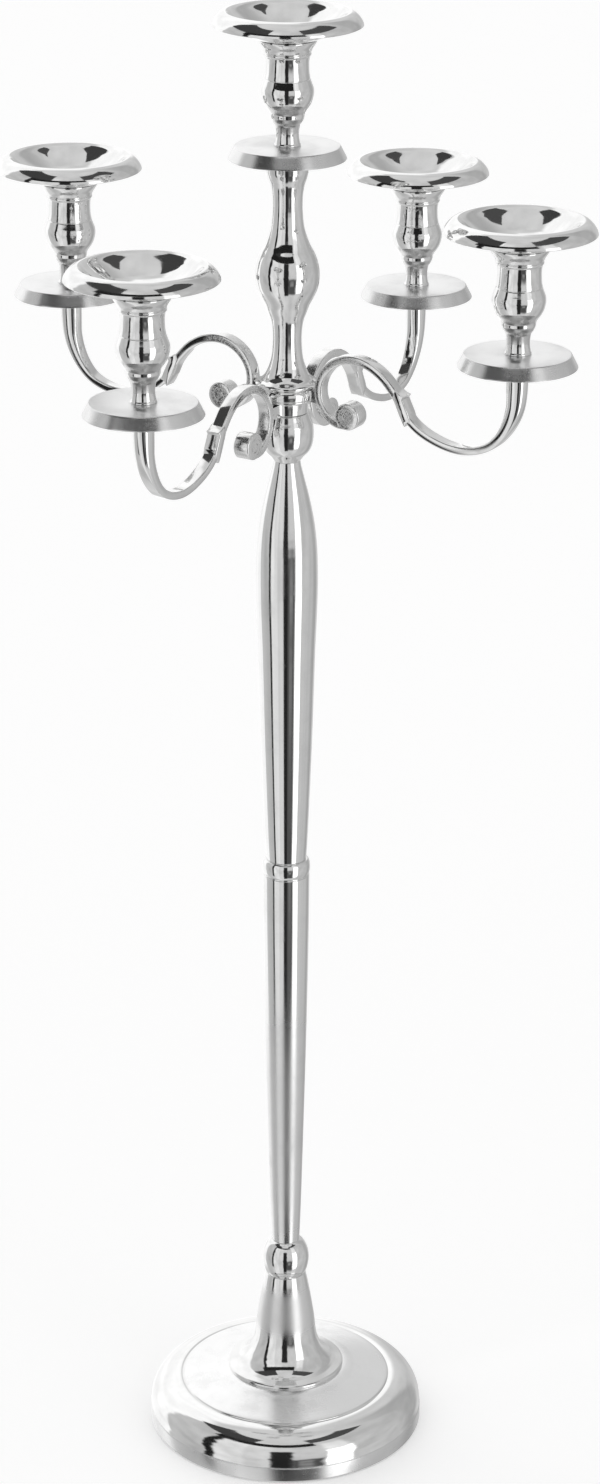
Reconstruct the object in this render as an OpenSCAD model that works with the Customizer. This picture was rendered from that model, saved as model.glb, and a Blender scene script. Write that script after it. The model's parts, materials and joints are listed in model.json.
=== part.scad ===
// Five-flame candelabra: turned stem on a round base, two crossed pairs of scrolled
// arms clamped on a centre rod, and a socket with a lift-out pillar dish on each tip.

/* [Base] */
// Diameter of the base at the floor
base_d = 200; // [165:1:260]
// Height of the base where the foot cone stands on it
base_h = 43; // [36:1:60]
// Height of the upright rim band
rim_h = 15; // [10:1:20]
// Width of the rounded shoulder between the rim and the top disc
shoulder_w = 24.5; // [18:0.5:30]
// Rise of the top disc from its edge to the foot cone
disc_rise = 7.2; // [3:0.1:10]
// Wall of the base casting
base_wall = 3.2; // [2.5:0.1:4.5]
// Thickness of the felt ring under the rim
felt_t = 2; // [1.5:0.1:3]
// Width of the felt ring
felt_w = 11; // [8:0.5:14]

/* [Stem] */
// Height of the foot cone
cone_h = 76.5; // [60:0.5:100]
// Radius of the flange that the foot cone stands on
cone_flange_r = 42.4; // [36:0.1:50]
// Height of the neck ball
neck_ball_h = 27; // [22:0.5:34]
// Radius of the neck ball
neck_ball_r = 17; // [15:0.1:21]
// Length of the lower shaft
lower_shaft_len = 290.5; // [240:0.5:350]
// Height of the collar between the shafts
collar_h = 12; // [8:0.5:16]
// Length of the upper shaft
upper_shaft_len = 292.5; // [240:0.5:350]
// Wall of both shaft tubes
shaft_wall = 1.8; // [1.2:0.1:2.4]
// Length of the threaded inserts in the shaft ends
insert_len = 18; // [14:0.5:26]
// Height of the hub ball
hub_ball_h = 34; // [28:0.5:42]
// Radius of the hub ball
hub_ball_r = 18.2; // [16:0.1:21]
// Height of the turned centre column
column_h = 159.9; // [130:0.1:190]
// Largest radius of the centre column
column_r = 21.8; // [18:0.1:26]

/* [Arms] */
// Distance from the stem axis to the axis of each arm's socket
arm_reach = 175; // [145:1:215]
// Height of an arm's tip above its scroll's datum
arm_rise = 52; // [42:0.5:64]
// How far the arm dips below its scroll's datum
arm_dip = 16.7; // [12:0.1:22]
// Width of the arm bars
bar_w = 9.5; // [7:0.1:12]
// Thickness of the scroll bar
scroll_t = 5.8; // [4.5:0.1:7]
// Thickness of the slender outer bar
outer_t = 5.4; // [4:0.1:7]
// Radius of the volute at the inner end of the scroll
volute_r = 9.2; // [7:0.1:11]
// Width of the volute
volute_w = 12; // [9:0.5:15]
// Height of the lower arms' boss
lower_boss_h = 10; // [8:0.5:16]
// Radius of the lower arms' boss
lower_boss_r = 14.4; // [10:0.1:17]
// Height of the upper arms' boss
upper_boss_h = 9.6; // [8:0.1:18]
// Radius of the upper arms' boss
upper_boss_r = 21; // [16:0.1:23]
// Drop of the lower arms' scrolls below the underside of their boss
lower_scroll_drop = 4.6; // [0:0.1:8]
// Height of the upper arms' scrolls above the underside of their boss
upper_scroll_lift = 1.5; // [-4:0.1:4]

/* [Candle holders] */
// Radius of the drip plate's flat top
plate_top_r = 34.8; // [28:0.1:42]
// Radius of the drip plate's skirt at its lower edge
plate_r = 39.5; // [33:0.1:48]
// Height of the drip plate's skirt
plate_skirt = 8.5; // [5:0.1:12]
// Wall of the drip plate
plate_wall = 2.5; // [1.8:0.1:3.5]
// Height of the candle socket
socket_h = 70; // [58:0.5:84]
// Radius of the socket's candle bore
socket_bore_r = 11.5; // [10:0.1:12.5]
// Depth of the socket's candle bore
socket_bore_depth = 38; // [30:0.5:42]
// Radius of the pillar dish
dish_r = 50; // [42:0.5:60]
// Radius of the pillar dish's flat floor
dish_floor_r = 15.5; // [13:0.1:22]
// Height of the dish's rolled lip above its underside
dish_h = 18.5; // [15:0.1:24]
// Wall of the pillar dish
dish_wall = 2.6; // [2:0.1:3.6]
// Length of the peg under the dish
peg_len = 20; // [14:0.5:26]
// Wall of the hollow peg
peg_wall = 2.2; // [1.5:0.1:3]

/* [Fasteners and fits] */
// Radius of the stud that holds the base, and of the stud between the shafts
stud_r = 5; // [4:0.1:5.5]
// Radius of the centre rod that clamps the hub
rod_r = 4; // [3:0.1:4.5]
// Radius of the screws that hold the arm sockets
screw_r = 3; // [2.5:0.1:3.5]
// How far a stud or screw reaches into its thread
thread_reach = 14; // [8:0.5:16]
// Radial clearance of studs and rods in their holes
rod_clear = 0.08; // [0.03:0.01:0.1]
// Radial clearance of an insert in its tube
insert_clear = 0.02; // [0.01:0.01:0.05]
// Radial clearance of the peg in the candle bore
peg_clear = 0.3; // [0.2:0.05:0.6]
// Running gap under each turning boss
swivel_gap = 0.1; // [0.05:0.05:0.3]
// Gap between a resting dish and its socket
rest_gap = 0.05; // [0.03:0.01:0.1]
// Thickness of the flat washer
washer_t = 2; // [1.5:0.1:3]

/* [Hidden] */
ARM_PLACES = ["front_right", "back_left", "back_right", "front_left"];
PLACES = concat(["centre"], ARM_PLACES);

bright = "#d9dadc";
satin = "#bfc1c4";
steel = "#8f9296";
felt = "#1f2022";
turn_fn = 96;
hole_fn = 48;
step = 3;

// Heights of the stacked pieces
cone_z = base_h;
neck_z = cone_z + cone_h;
lower_shaft_z = neck_z + neck_ball_h;
collar_z = lower_shaft_z + lower_shaft_len;
upper_shaft_z = collar_z + collar_h;
hub_z = upper_shaft_z + upper_shaft_len;
lower_boss_z = hub_z + hub_ball_h;
upper_boss_z = lower_boss_z + lower_boss_h;
column_z = upper_boss_z + upper_boss_h;
centre_plate_z = column_z + column_h + plate_wall;

// Heights of the arm tips' drip plates, measured at the flat top
upper_plate_z = upper_boss_z + upper_scroll_lift + arm_rise + plate_wall;
lower_plate_z = lower_boss_z - lower_scroll_drop + arm_rise + plate_wall;

// Where each holder stands: x, y and the height of its drip plate's top
places = [[0, 0, centre_plate_z],
          [arm_reach, 0, upper_plate_z],
          [-arm_reach, 0, upper_plate_z],
          [0, arm_reach, lower_plate_z],
          [0, -arm_reach, lower_plate_z]];

// A point on the smooth curve through b and c, with a and d as its neighbours
function blend(a, b, c, d, t) =
    0.5 * (2 * b + (c - a) * t + (2 * a - 5 * b + 4 * c - d) * t * t + (3 * b - a - 3 * c + d) * t * t * t);

// The smooth curve through every point of a list
function curve(p, n = step) = concat(
    [for (i = [0 : len(p) - 2])
        for (k = [0 : n - 1])
            blend(p[max(i - 1, 0)], p[i], p[i + 1], p[min(i + 2, len(p) - 1)], k / n)],
    [p[len(p) - 1]]);

// A profile's points stretched to a radius scale and a height, and raised to z
function sized(p, r_scale, height, z = 0) = [for (q = p) [q[0] * r_scale, z + q[1] * height]];

// A profile moved inwards by a wall, and turned end for end
function inside(p, wall) = [for (i = [len(p) - 1 : -1 : 0]) [p[i][0] - wall, p[i][1]]];

// A quarter ellipse from its side to its top
function quarter(cx, cy, a, b, n = 12) =
    [for (i = [0 : n]) [cx + a * cos(90 * i / n), cy + b * sin(90 * i / n)]];

// A solid turned from a side profile that runs from its foot to its top
module turned(side) {
    rotate_extrude($fn = turn_fn)
        polygon(concat([[0, side[0][1]]], side, [[0, side[len(side) - 1][1]]]));
}

// A hole along the stem's axis
module axis_hole(r, z, height) {
    translate([0, 0, z])
        cylinder(r = r, h = height, $fn = hole_fn);
}

// ---- Base ----
base_r = base_d / 2;
disc_r = base_r - shoulder_w;
disc_z = base_h - disc_rise;
// The shoulder starts just outside the disc's edge and just below it
shoulder_z = disc_z - 0.8;
shoulder_r = disc_r + 2.6;
floor_gap = 0.8;
crease = 0.5;
rim_crease_z = rim_h - 6 * crease;
// Boss under the middle, and lip that backs the felt
boss_r = 20;
boss_t = 9;
lip_t = 4;
felt_out_r = base_r - 2;

module base_casting() {
    shoulder_a = base_r - crease - shoulder_r;
    shoulder_b = shoulder_z - rim_h;
    outside = concat(
        [[felt_out_r, floor_gap], [base_r - 0.6, floor_gap], [base_r, floor_gap + 0.8],
         [base_r, rim_crease_z - crease], [base_r - crease, rim_crease_z],
         [base_r - 0.1, rim_crease_z + crease]],
        quarter(shoulder_r, rim_h, shoulder_a, shoulder_b),
        [[disc_r + 0.6, shoulder_z - 0.4], [disc_r + 0.3, disc_z - 0.4], [disc_r - 0.6, disc_z],
         [cone_flange_r + 1.5, base_h], [0, base_h]]);
    under = quarter(shoulder_r, rim_h, shoulder_a - base_wall, shoulder_b - base_wall);
    color(bright)
        difference() {
            rotate_extrude($fn = turn_fn)
                polygon(concat(
                    outside,
                    [[0, base_h - boss_t], [boss_r, base_h - boss_t], [boss_r, base_h - base_wall],
                     [cone_flange_r, base_h - base_wall]],
                    [for (i = [len(under) - 1 : -1 : 0]) under[i]],
                    [[under[0][0], felt_t + lip_t], [felt_out_r - felt_w - 1, felt_t + lip_t],
                     [felt_out_r - felt_w - 1, felt_t], [felt_out_r, felt_t]]));
            axis_hole(stud_r + rod_clear, 0, base_h + 1);
        }
}

module felt_ring() {
    color(felt)
        rotate_extrude($fn = turn_fn)
            translate([felt_out_r - felt_w, 0])
                square([felt_w - 0.2, felt_t]);
}

washer_z = base_h - boss_t - washer_t;
base_nut_h = 8;
nut_grip = 1.75;

module hex_nut(r, height) {
    difference() {
        cylinder(r = nut_grip * r, h = height, $fn = 6);
        translate([0, 0, -1])
            cylinder(r = r + rod_clear, h = height + 2, $fn = hole_fn);
    }
}

module base_stud() {
    stud_z = washer_z - base_nut_h - 2;
    color(steel)
        translate([0, 0, stud_z])
            cylinder(r = stud_r, h = lower_shaft_z + thread_reach - stud_z, $fn = hole_fn);
}

module base_washer() {
    color(steel)
        translate([0, 0, washer_z])
            difference() {
                cylinder(r = 3 * stud_r, h = washer_t, $fn = turn_fn);
                translate([0, 0, -1])
                    cylinder(r = stud_r + rod_clear, h = washer_t + 2, $fn = hole_fn);
            }
}

module base_nut() {
    color(steel)
        translate([0, 0, washer_z - base_nut_h])
            hex_nut(stud_r, base_nut_h);
}

// ---- Stem ----
// Foot cone: radius beyond the throat, and share of the height
cone_throat_r = 21;
cone_side = [[0.61, 0.075], [0.32, 0.155], [0.155, 0.25], [0.07, 0.34], [0, 0.515],
             [-0.075, 0.65], [-0.155, 0.78], [-0.235, 0.91], [-0.31, 1]];
cone_flange_t = 2.8;
cone_wall = 3;
cone_cap = 16;

module foot_cone() {
    flare = [for (q = cone_side)
        [cone_throat_r + q[0] * (q[0] > 0 ? cone_flange_r - cone_throat_r : cone_throat_r),
         cone_z + q[1] * cone_h]];
    color(satin)
        difference() {
            turned(concat(
                [[cone_flange_r - 0.4, cone_z], [cone_flange_r, cone_z + 0.5],
                 [cone_flange_r, cone_z + cone_flange_t - 0.7]],
                curve(concat([[cone_flange_r - 0.8, cone_z + cone_flange_t]], flare))));
            translate([0, 0, cone_z - 0.01])
                cylinder(r1 = cone_throat_r - cone_wall, r2 = cone_throat_r / 2, h = cone_h - cone_cap,
                    $fn = turn_fn);
            axis_hole(stud_r + rod_clear, cone_z, cone_h + 1);
        }
}

neck_side = [[0.59, 0], [0.753, 0.075], [0.895, 0.225], [0.976, 0.39], [1, 0.555],
             [0.976, 0.72], [0.918, 0.878], [0.835, 1]];

module neck_ball() {
    side = [for (i = [len(neck_side) - 1 : -1 : 0]) [neck_side[i][0], 1 - neck_side[i][1]]];
    color(bright)
        difference() {
            turned(curve(sized(side, neck_ball_r, neck_ball_h, neck_z)));
            axis_hole(stud_r + rod_clear, neck_z - 1, neck_ball_h + 2);
        }
}

// Side of each shaft: radius, and share of the length
lower_side = [[10, 0], [11.2, 0.12], [12.5, 0.29], [14, 0.49], [15.25, 0.687], [16.1, 0.87], [16.4, 1]];
upper_side = [[14.1, 0], [15.1, 0.062], [16.6, 0.185], [18.2, 0.338], [19.7, 0.52], [20.9, 0.622],
              [21.45, 0.7], [20.95, 0.782], [18.95, 0.848],
              [15.7, 0.906], [12.4, 0.951], [9.9, 0.985], [9.2, 1]];

// A tube that follows its side profile, with straight seats for the inserts at both ends
module shaft_tube(side, len, z) {
    outer = curve(sized(side, 1, len, z));
    core = [for (q = outer) if (q[1] > z + insert_len && q[1] < z + len - insert_len) q];
    bottom_seat = insert_seat(side[0][0]);
    top_seat = insert_seat(side[len(side) - 1][0]);
    rotate_extrude($fn = turn_fn)
        polygon(concat(
            outer,
            [[top_seat, z + len], [top_seat, z + len - insert_len]],
            inside(core, shaft_wall),
            [[bottom_seat, z + insert_len], [bottom_seat, z]]));
}

function insert_seat(r) = r - shaft_wall;

// A threaded plug for a shaft's end
module shaft_insert(seat_r, thread_r, z) {
    color(steel)
        difference() {
            translate([0, 0, z])
                cylinder(r = seat_r - insert_clear, h = insert_len, $fn = turn_fn);
            axis_hole(thread_r + rod_clear, z - 1, insert_len + 2);
        }
}

module lower_shaft() {
    color(bright)
        shaft_tube(lower_side, lower_shaft_len, lower_shaft_z);
}

module lower_shaft_bottom_insert() {
    shaft_insert(insert_seat(lower_side[0][0]), stud_r, lower_shaft_z);
}

module lower_shaft_top_insert() {
    shaft_insert(insert_seat(lower_side[len(lower_side) - 1][0]), stud_r, collar_z - insert_len);
}

collar_side = [[16, 0], [15.7, 0.06], [16.3, 0.14], [16.7, 0.3], [16.8, 0.55],
               [16.5, 0.78], [15.9, 0.92], [15.2, 1]];

module shaft_collar() {
    color(bright)
        difference() {
            turned(sized(collar_side, 1, collar_h, collar_z));
            axis_hole(stud_r + rod_clear, collar_z - 1, collar_h + 2);
        }
}

module shaft_stud() {
    color(steel)
        translate([0, 0, collar_z - thread_reach])
            cylinder(r = stud_r, h = collar_h + 2 * thread_reach, $fn = hole_fn);
}

module upper_shaft() {
    color(bright)
        shaft_tube(upper_side, upper_shaft_len, upper_shaft_z);
}

module upper_shaft_bottom_insert() {
    shaft_insert(insert_seat(upper_side[0][0]), stud_r, upper_shaft_z);
}

module upper_shaft_top_insert() {
    shaft_insert(insert_seat(upper_side[len(upper_side) - 1][0]), rod_r, hub_z - insert_len);
}

// ---- Hub ----
hub_side = [[0.505, 0], [0.65, 0.1], [0.84, 0.21], [0.955, 0.35], [1, 0.55],
            [0.975, 0.74], [0.885, 0.87], [0.8, 1]];
rod_nut_h = 6.5;

module hub_ball() {
    color(bright)
        difference() {
            turned(curve(sized(hub_side, hub_ball_r, hub_ball_h, hub_z)));
            axis_hole(rod_r + rod_clear, hub_z - 1, hub_ball_h + 2);
        }
}

module hub_rod() {
    rod_z = hub_z - thread_reach;
    rod_top = centre_plate_z + socket_floor + rod_nut_h + 2;
    color(steel)
        translate([0, 0, rod_z])
            cylinder(r = rod_r, h = rod_top - rod_z, $fn = hole_fn);
}

module rod_nut() {
    color(steel)
        translate([0, 0, centre_plate_z + socket_floor])
            hex_nut(rod_r, rod_nut_h);
}

// Column: radius as a share of the belly, and share of the height
column_foot_r = 21.4;
column_side = [[0.8, 0.0265], [0.69, 0.043], [0.6, 0.068], [0.53, 0.096], [0.48, 0.128],
               [0.452, 0.183], [0.46, 0.227], [0.51, 0.275], [0.605, 0.31], [0.7, 0.344], [0.84, 0.38],
               [0.94, 0.412], [0.99, 0.446], [1, 0.472], [0.99, 0.496], [0.935, 0.531], [0.84, 0.565],
               [0.705, 0.599], [0.57, 0.65], [0.51, 0.686], [0.472, 0.747], [0.48, 0.805],
               [0.53, 0.849], [0.6, 0.878], [0.645, 0.903]];
column_top_r = 14.1;

module centre_column() {
    color(bright)
        difference() {
            turned(concat(
                [[column_foot_r - 0.4, column_z], [column_foot_r, column_z + 0.6],
                 [column_foot_r, column_z + 1.6],
                 [column_foot_r - 0.8, column_z + 2.4]],
                curve(sized(column_side, column_r, column_h, column_z)),
                [[column_top_r, column_z + 0.915 * column_h], [column_top_r, column_z + column_h]]));
            axis_hole(rod_r + rod_clear, column_z - 1, column_h + 2);
        }
}

// ---- Arms ----
// Scroll from the volute to the leaf: radius and height above the datum
volute_at = [50, -6.5];
scroll_path = [[50, -12.8], [41, -12.2], [33.5, -7.8], [28.5, -0.8], [26.8, 7.5], [28.5, 16.5], [34.5, 25.2],
               [43.5, 30.9], [54, 32.6], [65, 30.5], [75, 24.8], [82.3, 17.8], [87.7, 11], [92, 4]];
leaf_r = 96.5;
// Outer bar from the leaf to the tip: shares of the reach and of the rise
outer_path = [[0, 0.21], [0.07, 0.145], [0.146, 0.095], [0.25, 0.048], [0.375, 0.011], [0.5, 0],
              [0.64, 0.025],
              [0.77, 0.09], [0.87, 0.2], [0.945, 0.344], [0.988, 0.5], [1, 0.68], [1, 0.9]];
leaf_shape = [[84, 12], [88, 4], [94, -6.2], [98.5, -2.5], [92.5, 11.5], [93.4, 13.6], [86, 17.5]];
// Tip under the drip plate: a cone that ends in a short cup
tip_cone_r = 6.8;
tip_cone_h = 30;
tip_cup_r = 7.6;
tip_cup_h = 6.1;
tip_hole = thread_reach + 3;
boss_in_arm = 0.3;

function outer_points() = [for (q = outer_path)
    [leaf_r + q[0] * (arm_reach - leaf_r), -arm_dip + q[1] * (arm_rise + arm_dip)]];

// Direction across the path at point i
function across(p, i) =
    let (d = p[min(i + 1, len(p) - 1)] - p[max(i - 1, 0)])
    [-d[1], d[0]] / norm(d);

// Outline of a bar of even thickness along a path
function ribbon(p, half) = concat(
    [for (i = [0 : len(p) - 1]) p[i] + across(p, i) * half],
    [for (i = [len(p) - 1 : -1 : 0]) p[i] - across(p, i) * half]);

module bar(outline, width) {
    rotate([90, 0, 0])
        linear_extrude(height = width, center = true)
            polygon(outline);
}

// One scrolled arm along +X, with its datum at z = 0
module scrolled_arm() {
    path = curve(concat(scroll_path, outer_points()));
    split = step * len(scroll_path);
    bar(ribbon([for (i = [0 : split]) path[i]], scroll_t / 2), bar_w);
    bar(ribbon([for (i = [split - 1 : len(path) - 1]) path[i]], outer_t / 2), bar_w);
    bar(leaf_shape, bar_w);
    translate([volute_at[0], 0, volute_at[1]])
        rotate([90, 0, 0])
            cylinder(r = volute_r, h = volute_w, center = true, $fn = turn_fn);
    translate([arm_reach, 0, arm_rise - tip_cup_h - tip_cone_h + 0.1])
        cylinder(r1 = bar_w / 2 - 0.3, r2 = tip_cone_r, h = tip_cone_h, $fn = turn_fn);
    translate([arm_reach, 0, arm_rise - tip_cup_h])
        cylinder(r = tip_cup_r, h = tip_cup_h, $fn = turn_fn);
}

// Two opposite arms cast with one boss; the scrolls' datum is drop below the boss
module arm_pair(r, height, drop) {
    difference() {
        union() {
            translate([0, 0, swivel_gap])
                cylinder(r = r, h = height - swivel_gap, $fn = turn_fn);
            for (side = [0, 180])
                rotate([0, 0, side]) {
                    translate([0, 0, -drop])
                        scrolled_arm();
                    translate([r / 2, -bar_w / 2 + boss_in_arm, swivel_gap])
                        cube([scroll_path[4][0] - r / 2, bar_w - 2 * boss_in_arm, height - 2 * swivel_gap]);
                }
        }
        axis_hole(rod_r + rod_clear, -1, height + 2);
        for (side = [-1, 1])
            translate([side * arm_reach, 0, arm_rise - drop - tip_hole])
                cylinder(r = screw_r + rod_clear, h = tip_hole + 1, $fn = hole_fn);
    }
}

module lower_arms() {
    color(bright)
        translate([0, 0, lower_boss_z])
            rotate([0, 0, 90])
                arm_pair(lower_boss_r, lower_boss_h, lower_scroll_drop);
}

module upper_arms() {
    color(bright)
        translate([0, 0, upper_boss_z])
            arm_pair(upper_boss_r, upper_boss_h, -upper_scroll_lift);
}

// ---- Candle holders, each with z = 0 at its drip plate's flat top ----
socket_floor = socket_h - socket_bore_depth;
skirt_edge = 0.5;
top_edge = 0.9;

module drip_plate(hole_r) {
    color(satin)
        difference() {
            rotate_extrude($fn = turn_fn)
                polygon([[0, 0], [plate_top_r, 0], [plate_top_r + 0.5, -0.35],
                         [plate_r - skirt_edge, -plate_skirt + 1], [plate_r, -plate_skirt],
                         [plate_r - plate_wall, -plate_skirt], [plate_top_r - top_edge, -plate_wall],
                         [0, -plate_wall]]);
            axis_hole(hole_r + rod_clear, -plate_wall - 1, plate_wall + 2);
        }
}

// Socket: outer radius, and share of the height
socket_foot = [[8.9, 0], [8.9, 0.014], [8.3, 0.03], [7.8, 0.075], [7.7, 0.12], [8, 0.16], [8.6, 0.2],
               [10, 0.228], [10.9, 0.257]];
socket_belly = [[11.3, 0.272], [11.7, 0.31], [13, 0.343], [14.5, 0.372], [16.3, 0.42], [17.3, 0.475],
                [17.55, 0.515], [17.2, 0.552], [16.1, 0.595], [15.2, 0.63]];
socket_groove = [[14.7, 0.635]];
socket_waist = [[15.1, 0.64], [14.55, 0.68], [14.3, 0.74], [14.35, 0.8], [14.9, 0.845]];
socket_bead = [[15.2, 0.85], [15.75, 0.86], [15.75, 0.874], [15.2, 0.883]];
socket_rim = [[15.8, 0.89], [16.7, 0.92], [18.2, 0.952], [19.3, 0.98], [19.6, 0.992], [19.4, 1]];

module candle_socket(hole_r) {
    color(bright)
        difference() {
            turned(concat(
                curve(sized(socket_foot, 1, socket_h)), curve(sized(socket_belly, 1, socket_h)),
                sized(socket_groove, 1, socket_h), curve(sized(socket_waist, 1, socket_h)),
                sized(socket_bead, 1, socket_h), curve(sized(socket_rim, 1, socket_h))));
            axis_hole(socket_bore_r, socket_floor, socket_bore_depth + 1);
            axis_hole(hole_r + rod_clear, -1, socket_h);
        }
}

module socket_screw() {
    head_r = 1.9 * screw_r;
    head_h = 1.2 * screw_r;
    color(steel)
        union() {
            translate([0, 0, -plate_wall - thread_reach])
                cylinder(r = screw_r, h = socket_floor + plate_wall + thread_reach + 0.5, $fn = hole_fn);
            translate([0, 0, socket_floor])
                cylinder(r = head_r, h = head_h, $fn = turn_fn);
        }
}

// Pillar dish: its side runs from the floor over the rolled lip to the edge
dish_z = socket_h + rest_gap;
edge_drop = 9;
lip_roll = 9.5;

module pillar_dish() {
    lip_r = dish_r - lip_roll;
    bowl_w = lip_r - dish_floor_r;
    bowl_h = dish_h - dish_wall;
    // Each bowl point: share of the bowl's width, and share of its height
    top = concat(
        curve([for (q = [[0, 0], [0.16, 0.03], [0.36, 0.155], [0.57, 0.39], [0.77, 0.675],
                         [0.905, 0.9], [1, 1]])
            [dish_floor_r + q[0] * bowl_w, dish_wall + q[1] * bowl_h]], 4),
        curve([[lip_r + 1.5, dish_h - 0.1], [lip_r + 4.2, dish_h - 1.3], [lip_r + 7, dish_h - 4],
               [lip_r + 8.9, dish_h - 6.9], [dish_r, dish_h - edge_drop]], 4));
    under = concat(
        curve([[dish_r - 1.1, dish_h - edge_drop - 0.7], [lip_r + 6, dish_h - 6.6],
               [lip_r + 2.5, dish_h - 3.6], [lip_r, dish_h - dish_wall]], 4),
        curve([for (q = [[0.845, 0.705], [0.63, 0.415], [0.405, 0.17], [0.19, 0.03], [0.02, 0]])
            [dish_floor_r + q[0] * bowl_w, q[1] * bowl_h]], 4));
    color(bright)
        translate([0, 0, dish_z])
            rotate_extrude($fn = turn_fn)
                polygon(concat([[0, dish_wall]], top, under, [[0, 0]]));
}

module dish_peg() {
    peg_r = socket_bore_r - peg_clear;
    color(steel)
        translate([0, 0, dish_z - peg_len])
            difference() {
                cylinder(r = peg_r, h = peg_len, $fn = turn_fn);
                translate([0, 0, -1])
                    cylinder(r = peg_r - peg_wall, h = peg_len + 1 - peg_wall, $fn = turn_fn);
            }
}

// The named piece of the holder at place i
module holder_piece(kind, i) {
    hole_r = i == 0 ? rod_r : screw_r;
    translate(places[i]) {
        if (kind == "drip_plate") drip_plate(hole_r);
        if (kind == "candle_socket") candle_socket(hole_r);
        if (kind == "pillar_dish") pillar_dish();
        if (kind == "dish_peg") dish_peg();
        if (kind == "socket_screw") socket_screw();
    }
}

base_casting();
felt_ring();
base_stud();
base_washer();
base_nut();
foot_cone();
neck_ball();
lower_shaft();
lower_shaft_bottom_insert();
lower_shaft_top_insert();
shaft_collar();
shaft_stud();
upper_shaft();
upper_shaft_bottom_insert();
upper_shaft_top_insert();
hub_ball();
hub_rod();
lower_arms();
upper_arms();
centre_column();
rod_nut();
for (i = [0 : len(PLACES) - 1])
    for (kind = ["drip_plate", "candle_socket", "pillar_dish", "dish_peg", "socket_screw"])
        if (kind != "socket_screw" || i > 0)
            holder_piece(kind, i);
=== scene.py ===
import json
import math

import bmesh
import bpy
import numpy as np
from mathutils import Matrix, Vector


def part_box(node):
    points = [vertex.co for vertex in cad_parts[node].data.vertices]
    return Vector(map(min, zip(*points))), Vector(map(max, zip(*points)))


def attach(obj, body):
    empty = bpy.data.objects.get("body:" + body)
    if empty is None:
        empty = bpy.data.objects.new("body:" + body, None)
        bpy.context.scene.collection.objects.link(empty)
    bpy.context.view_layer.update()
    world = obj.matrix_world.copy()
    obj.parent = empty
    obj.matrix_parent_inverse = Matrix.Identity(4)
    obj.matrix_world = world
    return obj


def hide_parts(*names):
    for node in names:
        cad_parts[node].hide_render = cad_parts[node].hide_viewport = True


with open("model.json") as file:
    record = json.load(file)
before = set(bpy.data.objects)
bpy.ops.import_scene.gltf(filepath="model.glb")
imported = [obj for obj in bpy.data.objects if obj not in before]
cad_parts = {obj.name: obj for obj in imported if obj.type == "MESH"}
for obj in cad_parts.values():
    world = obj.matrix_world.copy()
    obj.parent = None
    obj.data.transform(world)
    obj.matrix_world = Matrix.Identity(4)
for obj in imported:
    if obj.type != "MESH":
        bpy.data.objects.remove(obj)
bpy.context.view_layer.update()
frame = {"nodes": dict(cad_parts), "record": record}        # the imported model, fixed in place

nodes = frame["nodes"]
bodyOf = {n: b for b, members in frame["record"]["behaviour"]["bodies"].items() for n in members}
mm = 0.001
holders = ["centre", "front_right", "back_left", "back_right", "front_left"]


# camera
cameraPlace = {
    "distance": 2.5301,      # from the stem's axis, along the floor
    "height": 1.5156,
    "azimuth": 31.19,        # degrees round from -Y
    "sideways": 0.00945,
    "pitch": 21.16,
    "roll": 0.16,
    "lens": 94.38,
}


def makeCamera():
    c = cameraPlace
    a = math.radians(c["azimuth"])
    right = Vector((math.cos(a), math.sin(a), 0))
    back = Vector((math.sin(a), -math.cos(a), 0))
    data = bpy.data.cameras.new("showCamera")
    data.lens = c["lens"]
    data.sensor_width = 36
    data.clip_end = 100
    camera = bpy.data.objects.new("showCamera", data)
    camera.location = back * c["distance"] + right * c["sideways"] + Vector((0, 0, c["height"]))
    turn = Matrix.Rotation(a, 4, "Z") @ Matrix.Rotation(math.radians(90 - c["pitch"]), 4, "X")
    camera.rotation_euler = (turn @ Matrix.Rotation(math.radians(c["roll"]), 4, "Z")).to_euler()
    bpy.context.scene.collection.objects.link(camera)
    bpy.context.scene.camera = camera


makeCamera()
print("camera placed")


# shader maths
class Wire:      # one socket, so that shader maths reads as plain sums
    def __init__(self, shade, socket):
        self.shade = shade
        self.socket = socket

    def maths(self, operation, first, second=0.0, clamp=False):
        settings = {"operation": operation, "use_clamp": clamp}
        return self.shade.node("ShaderNodeMath", settings, {0: first, 1: second})

    def __add__(self, other):
        return self.maths("ADD", self, other)

    def __radd__(self, other):
        return self.maths("ADD", other, self)

    def __sub__(self, other):
        return self.maths("SUBTRACT", self, other)

    def __rsub__(self, other):
        return self.maths("SUBTRACT", other, self)

    def __mul__(self, other):
        return self.maths("MULTIPLY", self, other)

    def __rmul__(self, other):
        return self.maths("MULTIPLY", other, self)

    def __pow__(self, other):
        return self.maths("POWER", self, other)

    def __mod__(self, other):
        return self.maths("MODULO", self, other)

    def __abs__(self):
        return self.maths("ABSOLUTE", self)

    def ramp(self, low, high, start=0.0, end=1.0):      # smooth rise from start to end
        values = {"Value": self, "From Min": low, "From Max": high, "To Min": start, "To Max": end}
        return self.shade.node("ShaderNodeMapRange", {"interpolation_type": "SMOOTHSTEP"}, values)

    def band(self, low, high, soft):      # 1 between low and high, fading over soft
        up = self.ramp(low - soft, low + soft)
        return up * self.ramp(high - soft, high + soft, 1.0, 0.0)


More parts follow.
